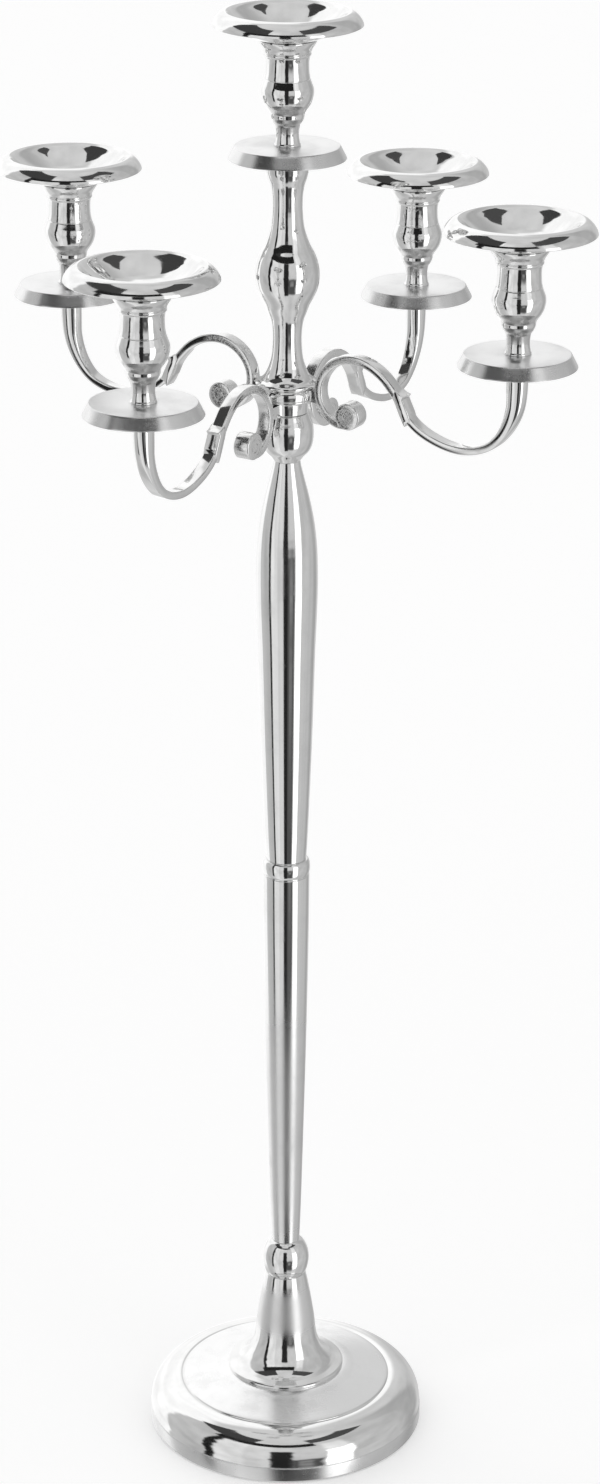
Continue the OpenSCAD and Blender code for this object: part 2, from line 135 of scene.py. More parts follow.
class Shade:      # one node tree
    def __init__(self, tree):
        self.tree = tree
        tree.nodes.clear()

    def node(self, kind, settings=None, values=None, out=0):
        made = self.tree.nodes.new(kind)
        for name, value in (settings or {}).items():
            if name == "stops":
                self.setStops(made.color_ramp, value)
            else:
                setattr(made, name, value)
        for name, value in (values or {}).items():
            if isinstance(value, Wire):
                self.tree.links.new(value.socket, made.inputs[name])
            else:
                made.inputs[name].default_value = value
        return Wire(self, made.outputs[out]) if made.outputs else None

    def setStops(self, ramp, stops):
        while len(ramp.elements) < len(stops):
            ramp.elements.new(0.5)
        for element, (place, colour) in zip(ramp.elements, stops):
            element.position = place
            element.color = (*colour, 1)

    def noise(self, vector, scale, detail=2.0, rough=0.5):
        return self.node("ShaderNodeTexNoise", {"noise_dimensions": "3D"},
                         {"Vector": vector, "Scale": scale, "Detail": detail, "Roughness": rough})

    def tint(self, mask, first, second):      # a colour between two
        values = {0: mask, 6: (*first, 1), 7: (*second, 1)}
        return self.node("ShaderNodeMix", {"data_type": "RGBA"}, values, out=2)


# metals
nickel = {"colour": (0.875, 0.875, 0.872), "worn": (0.82, 0.82, 0.818)}
finishes = {
    # rough: the polish; wave: slow unevenness; lines: turning marks
    # girdle: a duller stretch, as heights it starts, is full from, is full to and ends, and how much rougher
    "mirror": {"rough": 0.055, "smear": 0.05, "wave": 0.20, "lines": 0.03, "linePitch": 0.45 * mm},
    "shaft": {"rough": 0.085, "smear": 0.07, "wave": 0.30, "lines": 0.06, "linePitch": 0.45 * mm},
    "footShaft": {"rough": 0.085, "smear": 0.07, "wave": 0.30, "lines": 0.06, "linePitch": 0.45 * mm,
                  "girdle": (0.10, 0.20, 0.262, 0.40, 0.30)},
    "satin": {"rough": 0.28, "smear": 0.08, "wave": 0.06, "lines": 0.34, "linePitch": 0.28 * mm},
    "disc": {"rough": 0.20, "smear": 0.10, "wave": 0.05, "lines": 0.30, "linePitch": 0.28 * mm},
    "rim": {"rough": 0.22, "smear": 0.08, "wave": 0.06, "lines": 0.16, "linePitch": 0.35 * mm},
    "shoulder": {"rough": 0.065, "smear": 0.05, "wave": 0.10, "lines": 0.01, "linePitch": 0.45 * mm},
    "cone": {"rough": 0.06, "smear": 0.06, "wave": 0.20, "lines": 0.05, "linePitch": 0.35 * mm,
             "girdle": (0.068, 0.084, 0.102, 0.116, 0.34)},
    "cast": {"rough": 0.075, "smear": 0.07, "wave": 0.30, "lines": 0.0},
    "steel": {"rough": 0.27, "smear": 0.10, "wave": 0.05, "lines": 0.25, "linePitch": 0.5 * mm},
}
# where the arms keep their casting skin: radii round the stem
castSkin = {
    "from": 0.024, "fullFrom": 0.029, "fullTo": 0.057, "to": 0.066,
    "grain": 0.9 * mm, "depth": 0.055, "extraRough": 0.22,
}
# what every metal has alike: noise scales, how much the fine smear and the turning marks count, and the bump
metalGrain = {
    "smearScale": 38.0, "fineScale": 520.0, "waveScale": 21.0,
    "fineShare": 0.35, "markDepth": 0.02, "markRough": 0.25,
    "bumpStrength": 0.35, "bumpDistance": 0.6 * mm,
}


def metal(name, colours=nickel):
    look, grainOf = finishes[name], metalGrain
    material = bpy.data.materials.new(name + "Metal")
    material.use_nodes = True
    shade = Shade(material.node_tree)
    place = shade.node("ShaderNodeTexCoord", out="Object")
    ring = shade.node("ShaderNodeAttribute", {"attribute_name": "turned"}, out="Vector")
    smear = shade.noise(place, grainOf["smearScale"], 4.0, 0.62)
    fine = shade.noise(place, grainOf["fineScale"], 3.0, 0.6)
    rough = look["rough"] + smear.ramp(0.48, 0.72) * look["smear"]
    rough = rough + fine.ramp(0.5, 0.8) * (grainOf["fineShare"] * look["smear"])
    height = shade.noise(place, grainOf["waveScale"], 2.0, 0.45) * look["wave"]
    if look["lines"]:
        marks = shade.noise(ring, 1.0 / look["linePitch"], 2.0, 0.75)
        height = height + marks * (grainOf["markDepth"] * look["lines"])
        rough = rough + marks.ramp(0.35, 0.75) * (grainOf["markRough"] * look["lines"])
    apart = shade.node("ShaderNodeSeparateXYZ", None, {0: place})
    x, y, z = (Wire(shade, apart.socket.node.outputs[i]) for i in range(3))
    if name == "cast":
        radius = (x * x + y * y) ** 0.5
        skin = radius.ramp(castSkin["from"], castSkin["fullFrom"])
        skin = skin * radius.ramp(castSkin["fullTo"], castSkin["to"], 1.0, 0.0)
        grain = shade.noise(place, 1.0 / castSkin["grain"], 3.0, 0.65)
        height = height + grain * skin * castSkin["depth"]
        rough = rough + skin * grain.ramp(0.3, 0.7) * castSkin["extraRough"]
    if "girdle" in look:
        start, fullFrom, fullTo, end, extra = look["girdle"]
        rough = rough + z.ramp(start, fullFrom) * z.ramp(fullTo, end, 1.0, 0.0) * extra
    bump = shade.node("ShaderNodeBump", None, {
        "Strength": grainOf["bumpStrength"], "Distance": grainOf["bumpDistance"], "Height": height})
    base = shade.tint(smear.ramp(0.4, 0.75), colours["colour"], colours["worn"])
    surface = shade.node("ShaderNodeBsdfPrincipled", None,
                         {"Base Color": base, "Metallic": 1.0, "Roughness": rough, "Normal": bump})
    shade.node("ShaderNodeOutputMaterial", None, {"Surface": surface})
    return material


feltLook = {
    "fibreScale": 1900.0, "clumpScale": 240.0, "fibreShare": 0.7,
    "dark": (0.010, 0.010, 0.011), "light": (0.055, 0.055, 0.06),
    "rough": 0.95, "sheen": 0.35, "bumpStrength": 0.6, "bumpDistance": 0.4 * mm,
}


def felt():
    look = feltLook
    material = bpy.data.materials.new("blackFelt")
    material.use_nodes = True
    shade = Shade(material.node_tree)
    place = shade.node("ShaderNodeTexCoord", out="Object")
    fibre = shade.noise(place, look["fibreScale"], 5.0, 0.75)
    clump = shade.noise(place, look["clumpScale"], 3.0, 0.6)
    pile = fibre * look["fibreShare"] + clump * (1 - look["fibreShare"])
    base = shade.tint(pile.ramp(0.35, 0.65), look["dark"], look["light"])
    bump = shade.node("ShaderNodeBump", None, {
        "Strength": look["bumpStrength"], "Distance": look["bumpDistance"], "Height": pile})
    surface = shade.node("ShaderNodeBsdfPrincipled", None, {
        "Base Color": base, "Roughness": look["rough"], "Sheen Weight": look["sheen"], "Normal": bump})
    shade.node("ShaderNodeOutputMaterial", None, {"Surface": surface})
    return material


mirror, shaft, footShaft, cone, cast = (metal(n) for n in ("mirror", "shaft", "footShaft", "cone", "cast"))
shoulder = metal("shoulder")
rim = metal("rim", {"colour": (0.82, 0.82, 0.82), "worn": (0.75, 0.75, 0.75)})
satin = metal("satin", {"colour": (0.86, 0.86, 0.86), "worn": (0.79, 0.79, 0.79)})
disc = metal("disc", {"colour": (0.91, 0.91, 0.91), "worn": (0.85, 0.85, 0.85)})
steel = metal("steel", {"colour": (0.60, 0.61, 0.62), "worn": (0.50, 0.505, 0.51)})
blackFelt = felt()
print("materials made")


# meshes
turning = {
    "around": 176,           # facets round a large piece
    "aroundSmall": 112,      # and round one narrower than smallRadius
    "smallRadius": 0.024,
    "softTurn": 27,          # degrees; a sharper corner stays an edge
    "edgeRound": 0.35 * mm,
    "edgeShare": 0.42,       # most of a short side that a rounded edge takes
    "spacing": 1.5 * mm,     # longest step along a curved side
    "sameRing": 0.006 * mm,
    "sharpAngle": 38,
}


def ringWalk(node):
    # the rings of a turned CAD node as (radius, height), in order along its side
    low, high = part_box(node)
    centre = Vector([round(v, 3) for v in (low + high) / 2])      # every axis stands on a whole millimetre
    mesh = nodes[node].data
    rings = []
    ringOf = []
    for v in mesh.vertices:
        r, z = math.hypot(v.co.x - centre.x, v.co.y - centre.y), v.co.z
        near = [i for i, q in enumerate(rings) if abs(q[0] - r) + abs(q[1] - z) < turning["sameRing"]]
        if not near:
            rings.append((r, z))
            near = [len(rings) - 1]
        ringOf.append(near[0])
    beside = {i: set() for i in range(len(rings))}
    for e in mesh.edges:
        a, b = ringOf[e.vertices[0]], ringOf[e.vertices[1]]
        if a != b:
            beside[a].add(b)
            beside[b].add(a)
    ends = [i for i in beside if len(beside[i]) == 1]
    walk = [min(ends or beside, key=lambda i: rings[i][1])]
    while True:
        ahead = [i for i in sorted(beside[walk[-1]]) if i not in walk]
        if not ahead:
            break
        walk.append(ahead[0])
    side = [rings[i] for i in walk]
    if ends:
        first, last = side[0], side[-1]
        if first[0] > turning["sameRing"]:
            side.insert(0, (0.0, first[1]))
        if last[0] > turning["sameRing"]:
            side.append((0.0, last[1]))
    return side, centre, not ends


def turnAt(a, b, c):
    u, v = np.subtract(b, a), np.subtract(c, b)
    return abs(math.degrees(math.atan2(u[0] * v[1] - u[1] * v[0], float(np.dot(u, v)))))


def smoothRun(points, spacing):
    # the smooth curve through a run of points
    if len(points) < 3:
        return [tuple(p) for p in points]
    p = [np.array(q, float) for q in points]
    p = [2 * p[0] - p[1]] + p + [2 * p[-1] - p[-2]]
    made = []
    for i in range(1, len(p) - 2):
        a, b, c, d = p[i - 1:i + 3]
        t0 = 0.0
        t1 = t0 + math.sqrt(np.linalg.norm(b - a)) + 1e-9
        t2 = t1 + math.sqrt(np.linalg.norm(c - b)) + 1e-9
        t3 = t2 + math.sqrt(np.linalg.norm(d - c)) + 1e-9
        count = max(1, math.ceil(np.linalg.norm(c - b) / spacing))
        for k in range(count):
            t = t1 + (t2 - t1) * k / count
            ab = (t1 - t) / (t1 - t0) * a + (t - t0) / (t1 - t0) * b
            bc = (t2 - t) / (t2 - t1) * b + (t - t1) / (t2 - t1) * c
            cd = (t3 - t) / (t3 - t2) * c + (t - t2) / (t3 - t2) * d
            abc = (t2 - t) / (t2 - t0) * ab + (t - t0) / (t2 - t0) * bc
            bcd = (t3 - t) / (t3 - t1) * bc + (t - t1) / (t3 - t1) * cd
            made.append(tuple((t2 - t) / (t2 - t1) * abc + (t - t1) / (t2 - t1) * bcd))
    made.append(tuple(p[-2]))
    return made


def refineSide(side, closed):
    # curves made smooth and corners given a small round
    n = len(side)
    corner = []
    for i in range(n):
        if not closed and i in (0, n - 1):
            corner.append(True)
        else:
            corner.append(turnAt(side[i - 1], side[i], side[(i + 1) % n]) > turning["softTurn"])
    if closed:
        first = corner.index(True)
        side = side[first:] + side[:first] + [side[first]]
        corner = corner[first:] + corner[:first] + [True]
    made = []
    start = 0
    for i in range(1, len(side)):
        if corner[i]:
            made.append(smoothRun(side[start:i + 1], turning["spacing"]))
            start = i
    rounded = []
    for k, run in enumerate(made):
        before = made[k - 1] if (k or closed) else None
        here = np.array(run[0])
        if before is None:
            rounded.append(tuple(here))
        else:
            back, ahead = np.array(before[-2]), np.array(run[1])
            nearest = [turning["edgeShare"] * np.linalg.norm(end - here) for end in (back, ahead)]
            cut = min(turning["edgeRound"], *nearest)
            a = here + (back - here) / np.linalg.norm(back - here) * cut
            b = here + (ahead - here) / np.linalg.norm(ahead - here) * cut
            for t in (0.0, 0.33, 0.67, 1.0):
                rounded.append(tuple((1 - t) ** 2 * a + 2 * t * (1 - t) * here + t * t * b))
        rounded.extend(run[1:-1])
    if not closed:
        rounded.append(made[-1][-1])
    return rounded


def toMesh(name, verts, faces, materials, faceSlots=None):
    mesh = bpy.data.meshes.new(name)
    mesh.from_pydata([tuple(v) for v in verts], [], faces)
    for m in materials:
        mesh.materials.append(m)
    if faceSlots is not None:
        mesh.polygons.foreach_set("material_index", faceSlots)
    mesh.validate()
    bm = bmesh.new()
    bm.from_mesh(mesh)
    bmesh.ops.recalc_face_normals(bm, faces=bm.faces)
    bm.to_mesh(mesh)
    bm.free()
    mesh.shade_smooth()
    mesh.set_sharp_from_angle(angle=math.radians(turning["sharpAngle"]))
    piece = bpy.data.objects.new(name, mesh)
    bpy.context.scene.collection.objects.link(piece)
    return piece


def lathe(name, side, centre, closed, materials, finishAt=None):
    small = max(p[0] for p in side) < turning["smallRadius"]
    around = turning["aroundSmall"] if small else turning["around"]
    verts, ringStart = [], []
    for r, z in side:
        ringStart.append((len(verts), r < 1e-6))
        if r < 1e-6:
            verts.append((centre.x, centre.y, z))
            continue
        for k in range(around):
            a = 2 * math.pi * k / around
            verts.append((centre.x + r * math.cos(a), centre.y + r * math.sin(a), z))
    faces, slots = [], []
    count = len(side)
    for i in range(count if closed else count - 1):
        j = (i + 1) % count
        (a, aTip), (b, bTip) = ringStart[i], ringStart[j]
        middle = ((side[i][0] + side[j][0]) / 2, (side[i][1] + side[j][1]) / 2)
        slot = finishAt(*middle) if finishAt else 0
        for k in range(around):
            m = (k + 1) % around
            if aTip and bTip:
                break
            if aTip:
                faces.append((a, b + k, b + m))
            elif bTip:
                faces.append((a + k, b, a + m))
            else:
                faces.append((a + k, b + k, b + m, a + m))
            slots.append(slot)
    piece = toMesh(name, verts, faces, materials, slots)
    co = np.zeros(len(piece.data.vertices) * 3, np.float32)
    piece.data.vertices.foreach_get("co", co)
    co = co.reshape(-1, 3)
    radius = np.hypot(co[:, 0] - centre.x, co[:, 1] - centre.y)
    turned = piece.data.attributes.new("turned", "FLOAT_VECTOR", "POINT")
    turned.data.foreach_set("vector", np.stack([radius, co[:, 2], 0 * radius], 1).astype(np.float32).ravel())
    return piece


def place(piece, *standsFor):
    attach(piece, bodyOf[standsFor[0]])
    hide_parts(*standsFor)
    return piece


def turnedPiece(node, materials, finishAt=None):
    side, centre, closed = ringWalk(node)
    fine = refineSide(side, closed)
    return place(lathe(node + "_shown", fine, centre, closed, materials, finishAt), node)


# stem
mirrorNodes = ["neck_ball", "lower_shaft", "shaft_collar", "upper_shaft", "hub_ball", "centre_column"]
steelNodes = ["base_stud", "base_washer", "shaft_stud", "hub_rod", "lower_shaft_bottom_insert",
              "lower_shaft_top_insert", "upper_shaft_bottom_insert", "upper_shaft_top_insert"]
for node in mirrorNodes:
    turnedPiece(node, [{"lower_shaft": footShaft, "upper_shaft": shaft}.get(node, mirror)])
for node in steelNodes:
    turnedPiece(node, [steel])
for node in ["base_nut", "rod_nut"]:
    nodes[node].data.materials.clear()
    nodes[node].data.materials.append(steel)
print("stem turned")

# base
baseLook = {"discRadius": 74.6 * mm, "discAbove": 30 * mm, "creaseHeight": 13.2 * mm}


def baseFinish(r, z):
    if r < baseLook["discRadius"] and z > baseLook["discAbove"]:
        return 1
    return 2 if z < baseLook["creaseHeight"] else 0


turnedPiece("base_casting", [shoulder, disc, rim], baseFinish)
turnedPiece("felt_ring", [blackFelt])
turnedPiece("foot_cone", [cone])
print("base turned")

# candle holders
for spot in holders:
    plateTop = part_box("drip_plate_" + spot)[1].z
    turnedPiece("drip_plate_" + spot, [rim, satin], lambda r, z: 1 if z > plateTop - 0.2 * mm else 0)
    turnedPiece("candle_socket_" + spot, [mirror])
    turnedPiece("pillar_dish_" + spot, [mirror])
    turnedPiece("dish_peg_" + spot, [steel])
    if spot != "centre":
        turnedPiece("socket_screw_" + spot, [steel])
print("holders turned")

# arms
armLook = {
    # scroll from the volute to the leaf, in the arm's own plane: (radius, height) in mm
    "scroll": [(50, -12.8), (41, -12.2), (33.5, -7.8), (28.5, -0.8), (26.8, 7.5), (28.5, 16.5), (34.5, 25.2),
               (43.5, 30.9), (54, 32.6), (65, 30.5), (75, 24.8), (82.3, 17.8), (87.7, 11), (91.6, 3)],
    # slender outer bar from inside the leaf to the tip: shares of its reach and of its rise
    "outer": [(-0.03, 0.262), (0, 0.21), (0.07, 0.145), (0.146, 0.095), (0.25, 0.048), (0.375, 0.011),
              (0.5, 0), (0.64, 0.025), (0.77, 0.09), (0.87, 0.2), (0.945, 0.344), (0.988, 0.5),
              (1, 0.68), (1, 0.9), (1, 0.96)],
    "leaf": [(84.6, 12.4), (86.6, 7.6), (89.2, 1.6), (91.6, -3.2), (93.9, -6.6), (95.2, -4.6), (96.6, -3.0),
             (98.4, -2.4), (96.4, 3.2), (93.6, 8.8), (92.3, 11.6), (93.6, 14.0), (90.6, 14.9), (86.2, 17.3)],
    "leafStart": 96.5, "reach": 175, "rise": 52, "dip": 16.7,
    "volute": (50, -6.5), "voluteRadius": 9.2, "voluteWidth": 12.0, "voluteEdge": 1.2,
    "scrollThick": 5.8, "scrollSwell": 0.16, "scrollRound": 0.42,
    "outerThick": 5.4, "width": 9.5, "leafWidth": 10.7, "leafEdge": 1.0,
    "riserThicker": 9.2, "riserWider": 3.6, "riserFrom": 0.45, "riserEasing": 1.3,    # from bar to plate
    "outerRound": 0.46, "riserRounder": 0.5,
    "bossWebWidth": 8.9, "bossWebFrom": 11.0, "bossWebTo": 27.5, "bossWebFoot": 0.8, "bossWebTop": 0.9,
    "tipRadius": 7.6, "tipHeight": 6.1, "tipNeck": 6.8, "boreRadius": 4.08, "screwBore": 3.08,
    "screwBoreDepth": 17,
    "sectionPoints": 6, "step": 1.6,
}


def resample(points, spacing):
    # a smooth curve through the points, at even steps
    fine = smoothRun(points, spacing / 6)
    p = np.array(fine, float)
    along = np.concatenate([[0], np.cumsum(np.hypot(*np.diff(p, axis=0).T))])
    count = max(2, int(round(along[-1] / spacing)) + 1)
    at = np.linspace(0, along[-1], count)
    return np.stack([np.interp(at, along, p[:, 0]), np.interp(at, along, p[:, 1])], 1), at / along[-1]


def sectionOutline(thick, width, roundness, points):
    # rounded rectangle, thick across the bar and width to its side
    corner = roundness * min(thick, width) / 2
    outline = []
    for quarter, (sx, sy) in enumerate([(1, 1), (-1, 1), (-1, -1), (1, -1)]):
        for k in range(points):
            a = math.pi / 2 * (quarter + k / (points - 1))
            outline.append((sx * (thick / 2 - corner) + corner * math.cos(a),
                            sy * (width / 2 - corner) + corner * math.sin(a)))
    return outline


def sweepBar(name, path, sections):
    # a bar along a path in the arm's plane; a section is (thick, width, roundness)
    verts, faces = [], []
    tangent = np.gradient(path, axis=0)
    tangent /= np.linalg.norm(tangent, axis=1)[:, None]
    for (r, h), (tr, th), section in zip(path, tangent, sections):
        for u, v in sectionOutline(*section, armLook["sectionPoints"]):
            verts.append(((r - th * u) * mm, v * mm, (h + tr * u) * mm))
    n = 4 * armLook["sectionPoints"]
    for i in range(len(path) - 1):
        for k in range(n):
            m = (k + 1) % n
            faces.append((i * n + k, i * n + m, (i + 1) * n + m, (i + 1) * n + k))
    faces.append(tuple(range(n)))
    faces.append(tuple(range((len(path) - 1) * n, len(path) * n)))
    return toMesh(name, verts, faces, [cast])


def pillow(name, outline, width, edge):
    # a flat shape in the arm's plane with rounded edges
    p = np.array(outline, float)
    area = 0.5 * np.sum(p[:, 0] * np.roll(p[:, 1], -1) - np.roll(p[:, 0], -1) * p[:, 1])
    if area < 0:
        p = p[::-1]
    ahead, back = np.roll(p, -1, 0) - p, p - np.roll(p, 1, 0)
    ahead /= np.linalg.norm(ahead, axis=1)[:, None]
    back /= np.linalg.norm(back, axis=1)[:, None]
    inward = np.stack([-(ahead + back)[:, 1], (ahead + back)[:, 0]], 1)
    inward /= np.linalg.norm(inward, axis=1)[:, None]
    layers = []
    for turn in (90, 60, 30, 0):
        a = math.radians(turn)
        layers.append((width / 2 - edge * (1 - math.sin(a)), edge * (1 - math.cos(a))))
    layers = layers + [(-w, inset) for w, inset in reversed(layers)]
    verts, faces = [], []
    for w, inset in layers:
        for q in p + inward * inset:
            verts.append((q[0] * mm, w * mm, q[1] * mm))
    n = len(p)
    for i in range(len(layers) - 1):
        for k in range(n):
            m = (k + 1) % n
            faces.append((i * n + k, (i + 1) * n + k, (i + 1) * n + m, i * n + m))
    faces.append(tuple(range(n)))
    faces.append(tuple(range((len(layers) - 1) * n, len(layers) * n)))
    return toMesh(name, verts, faces, [cast])


def blockSolid(name, low, high):
    verts = [(x, y, z) for x in (low[0], high[0]) for y in (low[1], high[1]) for z in (low[2], high[2])]
    faces = [(0, 1, 3, 2), (4, 6, 7, 5), (0, 4, 5, 1), (2, 3, 7, 6), (0, 2, 6, 4), (1, 5, 7, 3)]
    return toMesh(name, [tuple(c * mm for c in v) for v in verts], faces, [cast])


def turnedSolid(name, side, at=(0, 0)):
    # (radius, height) in mm, first and last on the axis
    centre = Vector((at[0] * mm, at[1] * mm, 0))
    return lathe(name, [(r * mm, z * mm) for r, z in side], centre, False, [cast])


def smoothStep(t):
    t = min(max(t, 0.0), 1.0)
    return t * t * (3 - 2 * t)


def armPieces(name):
    # the solids of one arm along +X, datum at z = 0
    c = armLook
    path, share = resample(c["scroll"], c["step"])
    widths = [c["voluteWidth"] + (c["width"] - c["voluteWidth"]) * smoothStep(s / 0.3) for s in share]
    swell = [c["scrollThick"] * (1 + c["scrollSwell"] * smoothStep((s - 0.86) / 0.14)) for s in share]
    sections = [(t, w, c["scrollRound"]) for t, w in zip(swell, widths)]
    pieces = [sweepBar(name + "_scroll", path, sections)]
    start, run, low, climb = c["leafStart"], c["reach"] - c["leafStart"], -c["dip"], c["rise"] + c["dip"]
    path, share = resample([(start + q[0] * run, low + q[1] * climb) for q in c["outer"]], c["step"])
    sections = []
    for s in share:
        up = smoothStep((s - c["riserFrom"]) / 0.45) ** c["riserEasing"]
        sections.append((c["outerThick"] + c["riserThicker"] * up, c["width"] + c["riserWider"] * up,
                         c["outerRound"] + c["riserRounder"] * up))
    pieces.append(sweepBar(name + "_outer", path, sections))
    pieces.append(pillow(name + "_leaf", c["leaf"], c["leafWidth"], c["leafEdge"]))
    radius, half, edge = c["voluteRadius"], c["voluteWidth"] / 2, c["voluteEdge"]
    side = []
    for turn in (0, 22, 45, 68, 90):
        a = math.radians(turn)
        side.append((radius - edge + edge * math.sin(a), half - edge + edge * math.cos(a)))
    under = [(r, -z) for r, z in reversed(side)]
    volute = turnedSolid(name + "_volute", [(0, half)] + side + under + [(0, -half)])
    volute.data.transform(Matrix.Rotation(math.radians(90), 4, "X"))
    volute.data.transform(Matrix.Translation((c["volute"][0] * mm, 0, c["volute"][1] * mm)))
    pieces.append(volute)
    top, neck, tip = c["rise"], c["rise"] - c["tipHeight"], c["tipRadius"]
    seat = [(0, neck - 2.2), (c["tipNeck"] - 0.4, neck - 2.2), (tip - 0.7, neck - 0.8), (tip, neck),
            (tip, top), (0, top)]
    pieces.append(turnedSolid(name + "_tip", seat, (c["reach"], 0)))
    return pieces


eyeLook = {"turns": 1.45, "inner": 2.0, "outer": 6.6, "wide": 1.15, "deep": 0.65, "steps": 46, "endsAt": -96}


def spiralGroove(name, side):
    # cutter for the eye of the volute, on one face
    c = armLook
    inner, outer, wide, deep = (eyeLook[k] for k in ("inner", "outer", "wide", "deep"))
    verts, faces, count = [], [], eyeLook["steps"]
    half = c["voluteWidth"] / 2
    for i in range(count):
        t = i / (count - 1)
        a = math.radians(eyeLook["endsAt"]) - 2 * math.pi * eyeLook["turns"] * (1 - t)
        r = inner + (outer - inner) * t ** 0.85
        for dr, dy in ((-wide * 0.35, -deep), (wide * 0.35, -deep), (wide * 0.8, 1.0), (-wide * 0.8, 1.0)):
            taper = min(1.0, 0.35 + 4 * t, 0.35 + 5 * (1 - t))
            rr = r + dr * taper
            across = side * (half + dy * (taper if dy < 0 else 1))
            verts.append(((c["volute"][0] + rr * math.cos(a)) * mm, across * mm,
                          (c["volute"][1] + rr * math.sin(a)) * mm))
    for i in range(count - 1):
        for k in range(4):
            m = (k + 1) % 4
            faces.append((i * 4 + k, i * 4 + m, (i + 1) * 4 + m, (i + 1) * 4 + k))
    faces += [(0, 1, 2, 3), tuple(4 * (count - 1) + k for k in range(4))]
    return toMesh(name, verts, faces, [cast])


def combine(base, others, operation):
    for other in others:
        step = base.modifiers.new("join", "BOOLEAN")
        step.operation = operation
        step.object = other
        step.solver = "MANIFOLD"
    bpy.context.view_layer.update()
    result = bpy.data.meshes.new_from_object(base.evaluated_get(bpy.context.evaluated_depsgraph_get()))
    base.modifiers.clear()
    base.data = result
    for other in others:
        bpy.data.objects.remove(other)
    return base


def armPair(node, turn, boss, drop, bottom):
    # two opposite arms and their boss; sizes in mm
    c = armLook
    screw, bored = c["screwBore"], c["rise"] - c["screwBoreDepth"]
    solids, cutters = [], []
    for side in (0, 180):
        arm = armPieces(f"{node}_{side}")
        cut = [spiralGroove(f"{node}_{side}_eye{k}", k) for k in (-1, 1)]
        bore = [(0, bored), (screw, bored), (screw, c["rise"] + 1), (0, c["rise"] + 1)]
        hole = turnedSolid(f"{node}_{side}_hole", bore, (c["reach"], 0))
        for piece in arm + cut + [hole]:
            piece.data.transform(Matrix.Translation((0, 0, -drop * mm)))
        web = blockSolid(f"{node}_{side}_web",
                         (c["bossWebFrom"], -c["bossWebWidth"] / 2, c["bossWebFoot"]),
                         (c["bossWebTo"], c["bossWebWidth"] / 2, boss["height"] - c["bossWebTop"]))
        for piece in arm + cut + [hole, web]:
            piece.data.transform(Matrix.Rotation(math.radians(side + turn), 4, "Z"))
        solids += arm + [web]
        cutters += cut + [hole]
    outline = [(r * mm, z * mm) for r, z in boss["side"]]
    ring = lathe(node + "_boss", refineSide(outline, True), Vector((0, 0, 0)), True, [cast])
    ring = combine(ring, solids, "UNION")
    ring = combine(ring, cutters, "DIFFERENCE")
    ring.data.transform(Matrix.Translation((0, 0, bottom * mm)))
    ring.data.shade_smooth()
    ring.data.set_sharp_from_angle(angle=math.radians(turning["sharpAngle"]))
    ring.name = node + "_shown"
    return place(ring, node)


bossLook = {"foot": 0.1, "footEdge": 0.5, "footTop": 0.7, "grooveHalf": 0.45, "grooveDepth": 0.5}


def bossSide(radius, height, groove, crown):
    # ring round the rod, with an eased crown and a fine line round it
    bore, foot, half = armLook["boreRadius"], bossLook["foot"], bossLook["grooveHalf"]
    eased = [(radius - inward * crown, height - below * crown) for inward, below in
             ((0.03, 1), (0.25, 0.53), (0.61, 0.14), (0.94, 0))]
    lower = [(bore, foot), (radius - bossLook["footEdge"], foot), (radius, bossLook["footTop"])]
    line = [(radius, groove - half), (radius - bossLook["grooveDepth"], groove), (radius, groove + half)]
    return lower + line + eased + [(bore, height)]


lowerBoss = {"height": 10.0, "side": bossSide(14.4, 10.0, 8.2, 0.9)}
upperBoss = {"height": 9.6, "side": bossSide(21.0, 9.6, 2.0, 3.6)}
armPair("lower_arms", 90, lowerBoss, 4.6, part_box("hub_ball")[1].z / mm)
armPair("upper_arms", 0, upperBoss, -1.5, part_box("hub_ball")[1].z / mm + lowerBoss["height"])
print("arms formed")

# floor and light
floorLook = {"size": 40.0, "colour": (0.90, 0.90, 0.90), "glow": 0.35, "rough": 0.9, "below": 0.2 * mm}


def makeFloor():
    mesh = bpy.data.meshes.new("floor")
    s = floorLook["size"]
    mesh.from_pydata([(-s, -s, 0), (s, -s, 0), (s, s, 0), (-s, s, 0)], [], [(0, 1, 2, 3)])
    floor = bpy.data.objects.new("floor", mesh)
    floor.location.z = -floorLook["below"]
    bpy.context.scene.collection.objects.link(floor)
    material = bpy.data.materials.new("paleFloor")
    material.use_nodes = True
    shade = Shade(material.node_tree)
    c = floorLook["colour"]
    surface = shade.node("ShaderNodeBsdfPrincipled", None, {
        "Base Color": (*c, 1), "Roughness": floorLook["rough"], "Specular IOR Level": 0.0,
        "Emission Color": (1, 1, 1, 1), "Emission Strength": floorLook["glow"]})
    shade.node("ShaderNodeOutputMaterial", None, {"Surface": surface})
    mesh.materials.append(material)
    floor.visible_glossy = False


